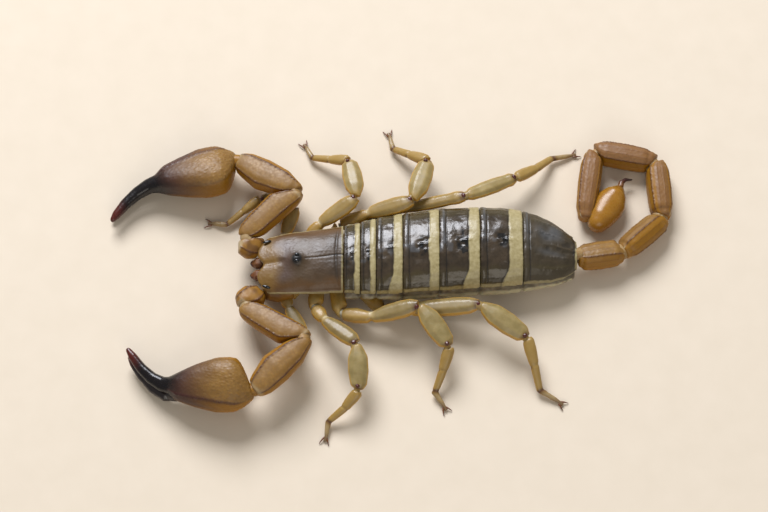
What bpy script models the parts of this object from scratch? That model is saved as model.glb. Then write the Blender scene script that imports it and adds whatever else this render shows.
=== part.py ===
"""A desert scorpion at life size, standing still, as the solids of a museum model.

Metres, +Z up, on a floor at z = 0. The head points to -X and the tail root to +X, so the animal's
right side is +Y. The tail is laid on its side on the floor, curled towards the right. Every plate,
limb joint and tail joint is a solid of its own, parted from the next by a thin cut.
Measures are in millimetres times MM, and angles are in degrees. A heading of 0 points to the rear
(+X) and 90 to the animal's right (+Y).
"""

import math

import bmesh
import bpy
from mathutils import Matrix, Vector

MM = 0.001
UP = Vector((0.0, 0.0, 1.0))
RIGHT = Vector((0.0, 1.0, 0.0))  # the animal's own right; its head is at low X
REAR = Vector((1.0, 0.0, 0.0))
CUT = 0.10 * MM  # the thin cut between neighbouring pieces

# ---- driving dimensions -------------------------------------------------------------------------

SNOUT_X = -12.35 * MM  # front margin of the carapace
CARAPACE_LENGTH = 8.0 * MM
TRUNK_LENGTH = 29.7 * MM  # carapace and abdomen
PLATE = 0.35 * MM  # thickness of a back plate
PLATE_EDGE = 8  # the angle at which a back plate ends, above the soft side
SIDE_BULGE = 0.22  # how far the soft side stands out beyond the plates
TERGITE_LENGTHS = [1.5, 1.5, 2.45, 3.4, 3.75, 4.0, 5.1]
EYES_BEHIND = 3.5

# The trunk's outline, as (distance behind the snout, measure) in mm, joined by smooth curves.
SPINE_BEND = [(0, 1.65), (8, 2.3), (17, 3.3), (24.4, 3.6), (29.7, 2.9)]
HALF_WIDTH = [(0, 2.45), (1.7, 3.0), (8, 3.4), (11.5, 3.9), (17, 4.15), (21, 4.1), (24.4, 3.8),
              (28.1, 2.6), (29.7, 1.6)]
BACK_HEIGHT = [(0, 3.3), (3.5, 4.05), (8, 4.45), (17, 4.9), (25, 4.6), (29.7, 3.2)]
EDGE_HEIGHT = [(0, 2.75), (8, 2.6), (17, 2.6), (29.7, 2.1)]
BELLY_HEIGHT = [(8, 1.95), (11.8, 1.85), (14.2, 0.1), (17, -0.05), (23, -0.05), (29.7, 1.0)]

COMB_BEHIND = 11.0
COMB_HEIGHT = 0.28 * MM
COMB_THICKNESS = 0.5 * MM
COMB_WIDTH = 0.5
COMB_TEETH = 8
TOOTH_PITCH = 0.36
TOOTH_LENGTH = 0.42

LEG_LENGTHS = {  # trochanter, femur, patella, tibia, basitarsus, tarsus with its claws
    1: (1.0, 3.1, 3.5, 2.0, 2.05, 1.95),
    2: (1.75, 4.3, 4.4, 2.15, 2.0, 1.95),
    3: (2.9, 4.7, 4.8, 2.3, 2.2, 2.05),
    4: (2.3, 6.8, 5.3, 2.55, 2.45, 2.65),
}
LEG_HEIGHTS = {  # the joints' heights, from the hip to the claws
    1: (1.5, 1.45, 1.4, 1.2, 0.85, 0.55, 0.16),
    2: (1.65, 2.2, 3.4, 2.5, 1.45, 0.6, 0.16),
    3: (1.4, 2.1, 3.6, 2.75, 1.65, 0.6, 0.16),
    4: (1.15, 1.7, 3.4, 2.6, 1.7, 0.6, 0.16),
}
LEG_STOUTNESS = {1: 0.84, 2: 0.95, 3: 1.0, 4: 1.03}
LEG_HEADINGS = {  # the stance, one heading for each length above
    ("r", 1): (78, 72, 163, 218, 218, 170),
    ("r", 2): (50, 32, 101, 163, 162, 116),
    ("r", 3): (20, 9, 73, 147, 146, 102),
    ("r", 4): (22, 5, 25, 34, 44, 14),
    ("l", 1): (-75, -62, -134, -137, -139, -172),
    ("l", 2): (-60, -41, -88, -135, -145, -99),
    ("l", 3): (-12, 9, -54, -108, -112, -55),
    ("l", 4): (-5, -1, -34, -75, -76, -30),
}
HIPS = {  # distance behind the snout and out from the midline
    ("r", 1): (2.2, 2.55), ("r", 2): (4.65, 2.95), ("r", 3): (7.45, 4.08), ("r", 4): (10.75, 4.55),
    ("l", 1): (2.6, 2.75), ("l", 2): (5.35, 4.0), ("l", 3): (7.85, 4.8), ("l", 4): (11.8, 4.75),
}

PALP_JOINTS = {  # coxa, trochanter, femur and patella ends as x, y, z
    "r": ((-12.1, 3.4, 2.1), (-13.8, 4.6, 2.75), (-8.75, 9.0, 3.3), (-14.5, 12.6, 2.25)),
    "l": ((-12.1, -0.6, 2.1), (-13.7, -2.3, 2.75), (-7.8, -5.7, 3.6), (-12.55, -10.6, 3.2)),
}
HAND_LENGTH = 7.9
HAND_HEADING = {"r": 194, "l": 176}
HAND_PITCH = {"r": -2, "l": -9}
HAND_ROLL = 18  # how far the outer side is turned down
FINGER_TIPS = {"r": (-26.3, 7.0, 1.3), "l": (-24.25, -6.3, 1.9)}
FINGER_BEND = {"r": 0.24, "l": 0.26}
# Each finger: its start along the hand, inwards and below it, and its shape.
FIXED_FINGER = (7.9, 0.3, -0.1, [
    (0.16, 0.7, 0.66), (0.4, 0.58, 0.56), (0.65, 0.5, 0.5), (0.88, 0.4, 0.4), (1, 0.18, 0.2),
])
MOVING_FINGER = (7.88, -0.75, 0.92, [
    (0, 0.36, 0.4), (0.12, 0.54, 0.6), (0.4, 0.52, 0.55), (0.7, 0.46, 0.46),
    (0.9, 0.36, 0.36), (1, 0.17, 0.18),
])

TAIL_JOINTS = [  # x, y, z from the trunk's rear to the end of the fifth ring
    (17.4, 2.85, 2.0), (21.7, 3.6, 1.65), (25.6, 7.15, 1.35), (25.25, 12.95, 1.25),
    (19.35, 14.1, 1.25), (18.25, 6.9, 1.25),
]
TAIL_ROLLS = (25, 55, 85, 90, 90)  # how far each ring's back is turned in towards the curl
TAIL_HALF_WIDTHS = (1.22, 1.24, 1.3, 1.3, 1.3)
TAIL_HALF_DEPTHS = (1.1, 1.1, 1.12, 1.1, 1.06)
TAIL_SWELL = [(0, 0.76), (0.12, 0.92), (0.5, 1.0), (0.85, 0.95), (1, 0.72)]
LAST_SWELL = [(0, 0.66), (0.12, 0.97), (0.45, 1.0), (0.8, 0.86), (0.95, 0.68), (1, 0.58)]
STING_BULB = ((18.75, 6.02, 1.2), (20.95, 7.2, 1.2), (21.75, 10.3, 1.2))  # base, belly side, neck
STING_HOOK = ((21.78, 10.42, 1.2), (21.85, 11.45, 1.15), (22.95, 11.25, 1.05))

# ---- small tools --------------------------------------------------------------------------------


def vec(point):
    return Vector(point) * MM


def smooth(stations, at):
    """The height of the smooth curve through the stations, which are (position, value) pairs."""
    last = len(stations) - 1
    i = max(0, min(last - 1, sum(at > s for s, _ in stations) - 1))
    (x0, y0), (x1, y1) = stations[i], stations[i + 1]

    def slope(k):
        a, b = stations[max(k - 1, 0)], stations[min(k + 1, last)]
        return (b[1] - a[1]) / (b[0] - a[0])

    t, span = (at - x0) / (x1 - x0), x1 - x0
    return (
        y0 * (1 + 2 * t) * (1 - t) ** 2 + y1 * t * t * (3 - 2 * t)
        + span * (slope(i) * t * (1 - t) ** 2 - slope(i + 1) * t * t * (1 - t))
    )


def power(value, exponent):
    return math.copysign(abs(value) ** exponent, value)


def curve_point(a, b, c, t):
    """A point on the quadratic curve from a to c that leaves towards b."""
    return a * (1 - t) ** 2 + b * 2 * t * (1 - t) + c * t * t


def ring(centre, side, top, half_width, half_height, sides, squareness):
    """A closed oval in the plane of side and top: 2 is an ellipse, more is squarer."""
    points = []
    for k in range(sides):
        angle = math.tau * (k + 0.5) / sides
        across = power(math.cos(angle), 2 / squareness) * half_width
        along = power(math.sin(angle), 2 / squareness) * half_height
        points.append(centre + side * across + top * along)
    return points


def slid_to_plane(points, direction, plane_point, normal):
    """Each point moved along direction until it lies in the plane."""
    reach = direction.dot(normal)
    return [p + direction * ((plane_point - p).dot(normal) / reach) for p in points]


def material(name, colour, roughness, metallic=0.0):
    made = bpy.data.materials.new(name)
    made.use_nodes = True
    shader = made.node_tree.nodes["Principled BSDF"]
    shader.inputs["Base Color"].default_value = (*colour, 1.0)
    shader.inputs["Roughness"].default_value = roughness
    shader.inputs["Metallic"].default_value = metallic
    return made


def keep_above(bm, height):
    """Cuts away all that lies under a height, and closes the cut with a flat face."""
    cut = bmesh.ops.bisect_plane(
        bm,
        geom=bm.verts[:] + bm.edges[:] + bm.faces[:],
        dist=1e-8,
        plane_co=Vector((0, 0, height)),
        plane_no=-UP,
        clear_outer=True,
    )
    rim = [e for e in cut["geom_cut"] if isinstance(e, bmesh.types.BMEdge)]
    bmesh.ops.holes_fill(bm, edges=rim, sides=0)


def add_solid(name, bm, origin, look):
    """Makes the object of a finished bmesh, with its own origin at the joint it grows from."""
    bmesh.ops.translate(bm, verts=bm.verts, vec=-origin)
    bmesh.ops.recalc_face_normals(bm, faces=bm.faces)
    if min(v.co.z for v in bm.verts) + origin.z < 0:
        keep_above(bm, -origin.z)  # what sinks into the floor becomes a small flat to stand on
    mesh = bpy.data.meshes.new(name)
    bm.to_mesh(mesh)
    bm.free()
    mesh.materials.append(look)
    mesh.shade_smooth()
    mesh.set_sharp_from_angle(angle=math.radians(40))
    made = bpy.data.objects.new(name, mesh)
    made.location = origin
    made.parent = MODEL
    bpy.context.scene.collection.objects.link(made)
    return made


def loft(name, rings, look):
    """One solid through closed rings of equally many points, with a flat face over each end."""
    bm = bmesh.new()
    loops = [[bm.verts.new(p) for p in points] for points in rings]
    sides = len(loops[0])
    for near, far in zip(loops, loops[1:]):
        for k in range(sides):
            n = (k + 1) % sides
            bm.faces.new((near[k], near[n], far[n], far[k]))
    bm.faces.new(loops[0][::-1])
    bm.faces.new(loops[-1])
    return add_solid(name, bm, sum(rings[0], Vector()) / sides, look)


def plate(name, outer, inner, look):
    """One thin solid between two grids of points, stitched together round their rim."""
    bm = bmesh.new()
    sheets = [[[bm.verts.new(p) for p in row] for row in grid] for grid in (outer, inner)]
    rows, columns = len(outer), len(outer[0])
    for sheet in sheets:
        for i in range(rows - 1):
            for j in range(columns - 1):
                bm.faces.new((sheet[i][j], sheet[i][j + 1], sheet[i + 1][j + 1], sheet[i + 1][j]))
    rim = [(0, j) for j in range(columns - 1)]
    rim += [(i, columns - 1) for i in range(rows - 1)]
    rim += [(rows - 1, j) for j in range(columns - 1, 0, -1)]
    rim += [(i, 0) for i in range(rows - 1, 0, -1)]
    for (i, j), (m, n) in zip(rim, rim[1:] + rim[:1]):
        bm.faces.new((sheets[0][i][j], sheets[0][m][n], sheets[1][m][n], sheets[1][i][j]))
    origin = outer[rows // 2][columns // 2].copy()
    return add_solid(name, bm, origin, look)


# ---- trunk --------------------------------------------------------------------------------------


def spine(behind):
    """The trunk's midline on the floor. Each plate lies square across, whatever the bend."""
    return Vector((SNOUT_X + behind * MM, smooth(SPINE_BEND, behind) * MM, 0))


def trunk_point(behind, angle, inset=0.0):
    """A point of the trunk's skin: angle 0 is its right edge, 90 its back, 180 its left edge."""
    a = math.radians(angle)
    edge = smooth(EDGE_HEIGHT, behind)
    out = (smooth(HALF_WIDTH, behind) - inset) * power(math.cos(a), 0.92)
    if angle < 0 or angle > 180:
        reach = edge - smooth(BELLY_HEIGHT, behind)
        height = edge + reach * power(math.sin(a), 0.82)
    else:
        height = edge + (smooth(BACK_HEIGHT, behind) - edge - inset) * power(math.sin(a), 0.92)
    return spine(behind) + RIGHT * (out * MM) + UP * (height * MM)


def across_plate(columns):
    return [PLATE_EDGE + (180 - 2 * PLATE_EDGE) * j / (columns - 1) for j in range(columns)]


def build_tergites(look):
    """The seven back plates of the abdomen, end to end."""
    front = CARAPACE_LENGTH / MM
    for number, length in enumerate(TERGITE_LENGTHS, start=1):
        rear = front + length
        gap = CUT / MM / 2
        stops = 5 if number == 7 else 3
        stations = [front + gap + (length - 2 * gap) * i / (stops - 1) for i in range(stops)]
        grids = [
            [[trunk_point(s, a, inset) for a in across_plate(13)] for s in stations]
            for inset in (0.0, PLATE / MM)
        ]
        plate(f"tergite_{number}", *grids, look)
        front = rear


def build_belly(look):
    """The soft sides and the under plates of the abdomen, one piece beneath the back plates."""
    under = (PLATE + CUT) / MM
    covered = [11, 30, 50, 70, 90, 110, 130, 150, 169]
    bare = [187, 202, 218, 235, 252, 270, 288, 305, 322, 338, 353]
    rings = []
    first, last, bands = CARAPACE_LENGTH / MM + 0.15, TRUNK_LENGTH / MM - 0.3, 13
    for i in range(bands + 1):
        behind = first + (last - first) * i / bands
        back = [trunk_point(behind, a, under) for a in covered]
        sides = [trunk_point(behind, a if a < 270 else a - 360, -SIDE_BULGE) for a in bare]
        rings.append(back + sides)
    loft("belly", rings, look)


def carapace_front(out):
    """How far behind the snout the front margin lies: a notch in the middle, rounded corners."""
    notch = 0.6 * math.exp(-((out / 0.5) ** 2))
    corner = 1.1 * (abs(out) / 2.6) ** 5
    return notch + corner


def carapace_point(share, angle, inset):
    """A point of the head shield: share runs from its front margin to its rear."""
    out = 2.55 * math.cos(math.radians(angle))
    front = carapace_front(out)
    behind = front + (CARAPACE_LENGTH / MM - CUT / MM / 2 - front) * share
    point = trunk_point(behind, angle, inset)
    aside = (point - spine(behind)).dot(RIGHT) / MM
    eye_mound = 0.3 * math.exp(-(((behind - EYES_BEHIND) / 0.8) ** 2) - (aside / 0.6) ** 2)
    return point + UP * (eye_mound * MM)


def build_carapace(look):
    shares = [0, 0.07, 0.2, 0.34, 0.42, 0.5, 0.62, 0.8, 1]
    grids = [
        [[carapace_point(t, a, inset) for a in across_plate(17)] for t in shares]
        for inset in (0.0, PLATE / MM)
    ]
    plate("carapace", *grids, look)


def lens(name, centre, along, outward, length, width, height, look):
    """A low glassy dome that stands on a plate."""
    side = outward.cross(along).normalized()
    bm = bmesh.new()
    bmesh.ops.create_uvsphere(bm, u_segments=10, v_segments=6, radius=1.0)
    keep_above(bm, 0.02)
    axes = Matrix((along * length / 2, side * width / 2, outward * height)).transposed()
    bmesh.ops.transform(bm, matrix=Matrix.Translation(centre) @ axes.to_4x4(), verts=bm.verts)
    return add_solid(name, bm, centre, look)


def build_eyes(look):
    """The middle pair on their mound, and a short row near each front corner of the shield."""
    clear = 0.06 * MM
    for name, way in (("right", 1), ("left", -1)):
        outward = (UP * 0.85 + RIGHT * way * 0.52).normalized()
        foot = carapace_point(0.425, 90 - way * 3.9, 0.0)
        lens(f"median_eye_{name}", foot + outward * clear, REAR, outward,
             0.5 * MM, 0.4 * MM, 0.2 * MM, look)
        outward = (UP * 0.72 + RIGHT * way * 0.66 - REAR * 0.2).normalized()
        along = (REAR + RIGHT * way * 0.3).normalized()
        along = (along - outward * along.dot(outward)).normalized()
        foot = carapace_point(0.07, 90 - way * 54, 0.0)
        lens(f"lateral_eyes_{name}", foot + outward * 0.09 * MM, along, outward,
             0.8 * MM, 0.3 * MM, 0.16 * MM, look)


def build_coxae(look):
    """The leg bases, closed round the breastplate beneath the head shield, as one solid."""
    def section(behind, half_width, top, bottom):
        centre = spine(behind) + UP * ((top + bottom) / 2 * MM)
        return ring(centre, RIGHT, UP, half_width * MM, (top - bottom) / 2 * MM, 16, 3.2)

    rear = CARAPACE_LENGTH / MM
    rings = [
        section(0.95, 1.6, 2.6, 1.5), section(1.4, 1.9, 3.0, 1.1), section(2.4, 2.2, 3.4, 0.7),
        section(4.5, 2.4, 3.4, 0.45), section(rear - 0.2, 2.4, 3.4, 0.45),
        section(rear, 2.3, 1.4, 0.45), section(10.2, 1.5, 1.3, 0.5),
    ]
    block = loft("coxae", rings, look)
    arms = bpy.data.collections.new("coxa_cutters")
    for side, number in LEG_HEADINGS:
        hip, next_joint = leg_joints(side, number)[:2]
        out = (next_joint - hip).normalized()
        way = 1 if side == "r" else -1
        start = spine(3.1 + 1.3 * number) + RIGHT * way * 0.9 * MM + UP * 0.97 * MM
        end = hip - out * CUT
        along = (end - start).normalized()
        across = along.cross(UP).normalized()
        shape = [(0, 0.3, 0.4), (0.45, 0.7, 0.6), (0.8, 0.8, 0.6)]
        rings = [
            ring(start.lerp(end, t), across, across.cross(along), w * MM, h * MM, 8, 2.6)
            for t, w, h in shape
        ]
        across = out.cross(UP).normalized()
        rings.append(ring(end, across, across.cross(out), 0.55 * MM, 0.5 * MM, 8, 2.6))
        arm = loft(f"coxa_{side}{number}_cutter", rings, look)
        arm.hide_render = True
        arm.display_type = "WIRE"
        arms.objects.link(arm)
    union = block.modifiers.new("leg_bases", "BOOLEAN")
    union.operation = "UNION"
    union.solver = "EXACT"
    union.operand_type = "COLLECTION"
    union.collection = arms


def build_pectines(look):
    """The two combs behind the leg bases: a flat spine with a row of blunt teeth."""
    for name, way in (("right", 1), ("left", -1)):
        out = (RIGHT * way * 0.9 + REAR * 0.43).normalized()
        back = (REAR - out * REAR.dot(out)).normalized()
        base = spine(COMB_BEHIND) + RIGHT * way * 0.4 * MM + UP * COMB_HEIGHT
        outline = [(0.0, 0.0)]
        for k in range(COMB_TEETH):
            near = k * TOOTH_PITCH
            far = near + TOOTH_PITCH * 0.6
            outline += [(near, COMB_WIDTH), (near, COMB_WIDTH + TOOTH_LENGTH),
                        (far, COMB_WIDTH + TOOTH_LENGTH), (far, COMB_WIDTH)]
        outline += [(COMB_TEETH * TOOTH_PITCH, COMB_WIDTH / 2), (far, 0.0)]
        bm = bmesh.new()
        corners = [base + (out * x + back * y) * MM for x, y in outline]
        face = bm.faces.new([bm.verts.new(p) for p in corners])
        raised = bmesh.ops.extrude_face_region(bm, geom=[face])
        tops = [v for v in raised["geom"] if isinstance(v, bmesh.types.BMVert)]
        bmesh.ops.translate(bm, verts=tops, vec=UP * COMB_THICKNESS)
        add_solid(f"pectine_{name}", bm, base, look)


def build_chelicerae(look):
    """The pair of small jaws that show in front of the head shield."""
    for name, way in (("right", 1), ("left", -1)):
        front = spine(0.0) + RIGHT * way * 0.6 * MM
        start = front + REAR * 0.8 * MM + UP * 2.35 * MM
        tip = front - REAR * 0.95 * MM + UP * 2.0 * MM
        forward = (tip - start).normalized()
        top = (UP - forward * UP.dot(forward)).normalized()
        side = top.cross(forward)
        shape = [(0, 0.4, 0.38), (0.25, 0.5, 0.5), (0.6, 0.52, 0.5), (0.85, 0.38, 0.34),
                 (1, 0.22, 0.2)]
        rings = [
            ring(start.lerp(tip, t), side, top, w * MM, h * MM, 8, 2.6) for t, w, h in shape
        ]
        loft(f"chelicera_{name}", rings, look)


# ---- limbs --------------------------------------------------------------------------------------


def frames_along(joints, tops):
    """For each length between joints: its start, direction, size, side and top."""
    frames = []
    for start, end, top in zip(joints, joints[1:], tops):
        direction = (end - start).normalized()
        top = (top - direction * top.dot(direction)).normalized()
        frames.append((start, direction, (end - start).length, top.cross(direction), top))
    return frames


def chain(joints, tops, shapes, sides, squareness, whole=()):
    """Rings for solids end to end along the joints, each closed by the plane halving its joints.

    A joint whose number is in whole isn't cut, so the lengths before and after it are one solid.
    """
    frames = frames_along(joints, tops)
    planes = [frames[0][1]]
    planes += [(a[1] + b[1]).normalized() for a, b in zip(frames, frames[1:])]
    planes += [frames[-1][1]]
    solids, rings = [], []
    for i, (frame, shape) in enumerate(zip(frames, shapes)):
        start, direction, length, side, top = frame
        for share, half_width, half_height, *shift in shape:
            centre = start + direction * length * share + side * sum(shift) * MM
            points = ring(centre, side, top, half_width * MM, half_height * MM, sides, squareness)
            for joint, way in ((i, 1), (i + 1, -1)):
                away = 0 if joint in whole else CUT / 2 * way
                middle = joints[joint] + planes[joint] * away
                slid = slid_to_plane(points, direction, middle, planes[joint])
                points = [
                    q if share == joint - i or (q - p).dot(direction) * way > 0 else p
                    for p, q in zip(points, slid)
                ]
            rings.append(points)
        if i + 1 not in whole:
            solids.append(rings)
            rings = []
    return solids


def leg_joints(side, number):
    """The leg's joints, from its hip out to the tips of its claws."""
    behind, out = HIPS[side, number]
    heights = LEG_HEIGHTS[number]
    way = 1 if side == "r" else -1
    joints = [spine(behind) + RIGHT * way * out * MM + UP * heights[0] * MM]
    steps = zip(LEG_LENGTHS[number], LEG_HEADINGS[side, number], heights, heights[1:])
    for length, heading, low, high in steps:
        run = math.sqrt(length**2 - (high - low) ** 2)
        turn = math.radians(heading)
        step = Vector((run * math.cos(turn), run * math.sin(turn), high - low))
        joints.append(joints[-1] + step * MM)
    return joints


def leg_shapes(stout):
    """Each length's swell: its share, half width and half height."""
    def scaled(*stations):
        return [(t, w * stout, h * stout) for t, w, h in stations]

    return [
        scaled((0, 0.5, 0.45), (0.15, 0.66, 0.55), (0.5, 0.76, 0.6), (1, 0.52, 0.48)),
        scaled((0.3, 0.79, 0.56), (0.65, 0.86, 0.6), (0.9, 0.72, 0.55), (1, 0.54, 0.46)),
        scaled((0, 0.46, 0.42), (0.1, 0.7, 0.56), (0.28, 0.94, 0.62), (0.6, 0.98, 0.64),
               (0.88, 0.78, 0.56), (1, 0.46, 0.42)),
        scaled((0, 0.4, 0.36), (0.12, 0.54, 0.42), (0.45, 0.57, 0.44), (0.9, 0.48, 0.38),
               (1, 0.42, 0.34)),
        scaled((0.12, 0.42, 0.35), (1, 0.32, 0.28)),
        [(0.3, 0.25, 0.25), (0.7, 0.22, 0.24), (0.8, 0.32, 0.24), (1, 0.36, 0.2)],
    ]


def build_legs(look):
    for side, number in LEG_HEADINGS:
        name = f"leg_{side}{number}"
        solids = chain(
            leg_joints(side, number),
            [UP] * 6,
            leg_shapes(LEG_STOUTNESS[number]),
            sides=8,
            squareness=2.3,
            whole=(1, 4, 5),
        )
        for part, rings in zip(("femur", "patella", "foot"), solids):
            loft(f"{name}_{part}", rings, look)


PALP_SHAPES = [  # share of the length, half width, half depth, shift to the front or inner side
    [(0, 0.8, 0.7, 0), (0.35, 1.3, 0.95, 0.1), (0.75, 1.3, 0.95, 0.1), (1, 0.62, 0.7, 0)],
    [(0, 0.5, 0.6, 0), (0.1, 1.0, 0.8, 0.05), (0.28, 1.2, 0.92, 0.1), (0.7, 1.32, 0.95, 0.25),
     (0.9, 1.08, 0.85, 0.1), (1, 0.6, 0.62, 0)],
    [(0, 0.6, 0.62, 0), (0.1, 0.95, 0.85, -0.1), (0.26, 1.3, 1.0, -0.15), (0.58, 1.55, 1.08, 0.0),
     (0.84, 1.25, 0.92, -0.12), (0.94, 1.0, 0.8, -0.1), (1, 0.66, 0.62, 0)],
    [(0, 0.75, 0.75, 0), (0.08, 1.75, 1.25, 0.3), (0.2, 2.55, 1.75, 0.5), (0.42, 2.6, 1.85, 0.45),
     (0.68, 2.0, 1.65, 0.35), (0.88, 1.4, 1.35, 0.2), (1, 0.8, 0.85, 0.35)],
]


def hand_frame(side):
    """The hand's direction, its inward side and its back."""
    heading, pitch = math.radians(HAND_HEADING[side]), math.radians(HAND_PITCH[side])
    forward = Vector((math.cos(heading), math.sin(heading), math.tan(pitch))).normalized()
    way = -1 if side == "r" else 1
    inward = Vector((0, way, 0))
    inward = (inward - forward * inward.dot(forward)).normalized()
    back = forward.cross(inward) * -way
    turn = math.radians(HAND_ROLL)
    return (
        forward,
        inward * math.cos(turn) + back * math.sin(turn),
        back * math.cos(turn) - inward * math.sin(turn),
    )


def build_pedipalps(looks):
    flesh, dark = looks
    for side, joints in PALP_JOINTS.items():
        points = [vec(j) for j in joints]
        wrist = points[-1]
        forward, inward, back = hand_frame(side)
        way = 1 if side == "r" else -1
        shapes = [[(*size, way * shift) for *size, shift in shape] for shape in PALP_SHAPES]
        solids = chain(
            [*points, wrist + forward * HAND_LENGTH * MM],
            [UP, UP, UP, back],
            shapes,
            sides=14,
            squareness=2.7,
        )
        axes = (forward, inward, back)
        solids[-1] += finger_rings(side, wrist, axes, FIXED_FINGER, 14)
        for part, rings in zip(("trochanter", "femur", "patella", "hand"), solids):
            loft(f"palp_{side}_{part}", rings, flesh)
        loft(f"palp_{side}_finger", finger_rings(side, wrist, axes, MOVING_FINGER, 10), dark)


def finger_rings(side, wrist, axes, finger, sides):
    """The rings of a finger, which bends inwards from the hand's direction to its tip."""
    forward, inward, back = axes
    start, aside, lower, shape = finger
    a = wrist + (forward * start + inward * aside - back * lower) * MM
    c = vec(FINGER_TIPS[side]) + (inward * aside - back * lower) * 0.7 * MM
    b = (a + c) / 2 - inward * (c - a).length * FINGER_BEND[side]
    return curved_rings((a, b, c), shape, back, sides, 2.5)


def curved_rings(line, shape, back, sides, squareness):
    """Rings square to a quadratic curve; the shape is (share, half width, half height)."""
    a, b, c = line
    rings = []
    for t, half_width, half_height in shape:
        centre = curve_point(a, b, c, t)
        direction = ((b - a) * (1 - t) + (c - b) * t).normalized()
        side = back.cross(direction).normalized()
        top = direction.cross(side)
        rings.append(ring(centre, side, top, half_width * MM, half_height * MM, sides, squareness))
    return rings


# ---- tail ---------------------------------------------------------------------------------------


def build_tail(looks):
    flesh, dark = looks
    joints = [vec(j) for j in TAIL_JOINTS]
    tops, shapes = [], []
    sizes = zip(joints, joints[1:], TAIL_ROLLS, TAIL_HALF_WIDTHS, TAIL_HALF_DEPTHS)
    for start, end, roll, half_width, half_depth in sizes:
        direction = (end - start).normalized()
        inward = UP.cross(direction).normalized()
        turn = math.radians(roll)
        tops.append(UP * math.cos(turn) + inward * math.sin(turn))
        swell = LAST_SWELL if end is joints[-1] else TAIL_SWELL
        shapes.append([(t, half_width * size, half_depth * size) for t, size in swell])
    for number, rings in enumerate(chain(joints, tops, shapes, 12, 2.7), start=1):
        loft(f"tail_{number}", rings, flesh)
    bulb = [vec(p) for p in STING_BULB]
    shape = [(0, 0.4, 0.5), (0.12, 0.68, 0.8), (0.3, 1.04, 1.12), (0.5, 1.22, 1.24),
             (0.68, 1.12, 1.15), (0.84, 0.8, 0.85), (0.95, 0.5, 0.52), (1, 0.36, 0.38)]
    loft("telson_bulb", curved_rings(bulb, shape, UP, 12, 2.1), flesh)
    hook = [vec(p) for p in STING_HOOK]
    shape = [(0, 0.33, 0.33), (0.3, 0.27, 0.27), (0.65, 0.2, 0.2), (1, 0.08, 0.08)]
    loft("telson_sting", curved_rings(hook, shape, UP, 8, 2), dark)


# ---- the whole animal ---------------------------------------------------------------------------


def centre_on_floor():
    """Puts the middle of the animal's length and width over the origin, by moving its parent."""
    bpy.context.view_layer.update()
    shown = [o for o in MODEL.children if not o.hide_render]
    corners = [o.matrix_world @ v.co for o in shown for v in o.data.vertices]
    for axis in (0, 1):
        values = [p[axis] for p in corners]
        MODEL.location[axis] = -(min(values) + max(values)) / 2


for old in list(bpy.data.objects):
    bpy.data.objects.remove(old)
MODEL = bpy.data.objects.new("scorpion", None)
bpy.context.scene.collection.objects.link(MODEL)

back_plate = material("back_plate", (0.09, 0.07, 0.05), 0.25)
soft_side = material("soft_side", (0.3, 0.27, 0.16), 0.45)
under_shell = material("under_shell", (0.5, 0.36, 0.13), 0.35)
leg_shell = material("leg_shell", (0.48, 0.38, 0.13), 0.3)
amber_shell = material("amber_shell", (0.4, 0.22, 0.06), 0.32)
dusky_tip = material("dusky_tip", (0.03, 0.012, 0.01), 0.22)
eye_glass = material("eye_glass", (0.005, 0.005, 0.006), 0.08)

build_carapace(back_plate)
build_eyes(eye_glass)
build_tergites(back_plate)
build_belly(soft_side)
build_coxae(under_shell)
build_pectines(under_shell)
build_chelicerae(amber_shell)
build_legs(leg_shell)
build_pedipalps((amber_shell, dusky_tip))
build_tail((amber_shell, dusky_tip))
centre_on_floor()
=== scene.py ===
import math

import bmesh
import bpy
import numpy as np
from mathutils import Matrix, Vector


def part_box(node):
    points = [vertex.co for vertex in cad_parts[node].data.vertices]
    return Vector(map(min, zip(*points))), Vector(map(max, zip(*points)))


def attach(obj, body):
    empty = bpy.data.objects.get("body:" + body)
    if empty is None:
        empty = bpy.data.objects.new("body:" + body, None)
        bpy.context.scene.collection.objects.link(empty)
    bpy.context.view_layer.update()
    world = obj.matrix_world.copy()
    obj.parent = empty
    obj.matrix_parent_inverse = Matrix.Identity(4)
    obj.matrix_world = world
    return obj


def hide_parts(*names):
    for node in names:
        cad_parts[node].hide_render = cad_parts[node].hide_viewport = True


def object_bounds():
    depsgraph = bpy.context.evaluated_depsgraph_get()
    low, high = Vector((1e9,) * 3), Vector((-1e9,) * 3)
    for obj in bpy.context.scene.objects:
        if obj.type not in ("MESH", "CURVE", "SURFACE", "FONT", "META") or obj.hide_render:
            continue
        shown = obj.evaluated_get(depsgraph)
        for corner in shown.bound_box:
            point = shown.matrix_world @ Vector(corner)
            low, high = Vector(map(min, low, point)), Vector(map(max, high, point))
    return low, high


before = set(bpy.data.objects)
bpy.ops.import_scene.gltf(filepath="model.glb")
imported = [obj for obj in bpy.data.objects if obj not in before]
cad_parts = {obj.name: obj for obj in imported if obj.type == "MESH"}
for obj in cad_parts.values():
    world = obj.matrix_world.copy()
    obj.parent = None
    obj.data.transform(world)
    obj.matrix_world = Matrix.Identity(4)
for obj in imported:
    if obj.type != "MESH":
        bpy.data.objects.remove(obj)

cad_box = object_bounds()

# ---- Soft skin ----------------------------------------------------------------------------------
# The thin leathery skin of the flanks and belly, which joins the back plates to the legs. It is
# unhardened cuticle, grey-olive and folded, stretched over a soft body; the hard plates sit on it.

MM = 0.001
WELD = 1e-7


def reshaped(mesh, kind, **settings):
    """The mesh as one modifier leaves it."""
    block = bpy.data.objects.new("block", mesh)
    bpy.context.scene.collection.objects.link(block)
    tool = block.modifiers.new("tool", kind)
    for key, value in settings.items():
        setattr(tool, key, value)
    graph = bpy.context.evaluated_depsgraph_get()
    made = bpy.data.meshes.new_from_object(block.evaluated_get(graph))
    bpy.data.objects.remove(block)
    return made


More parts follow.
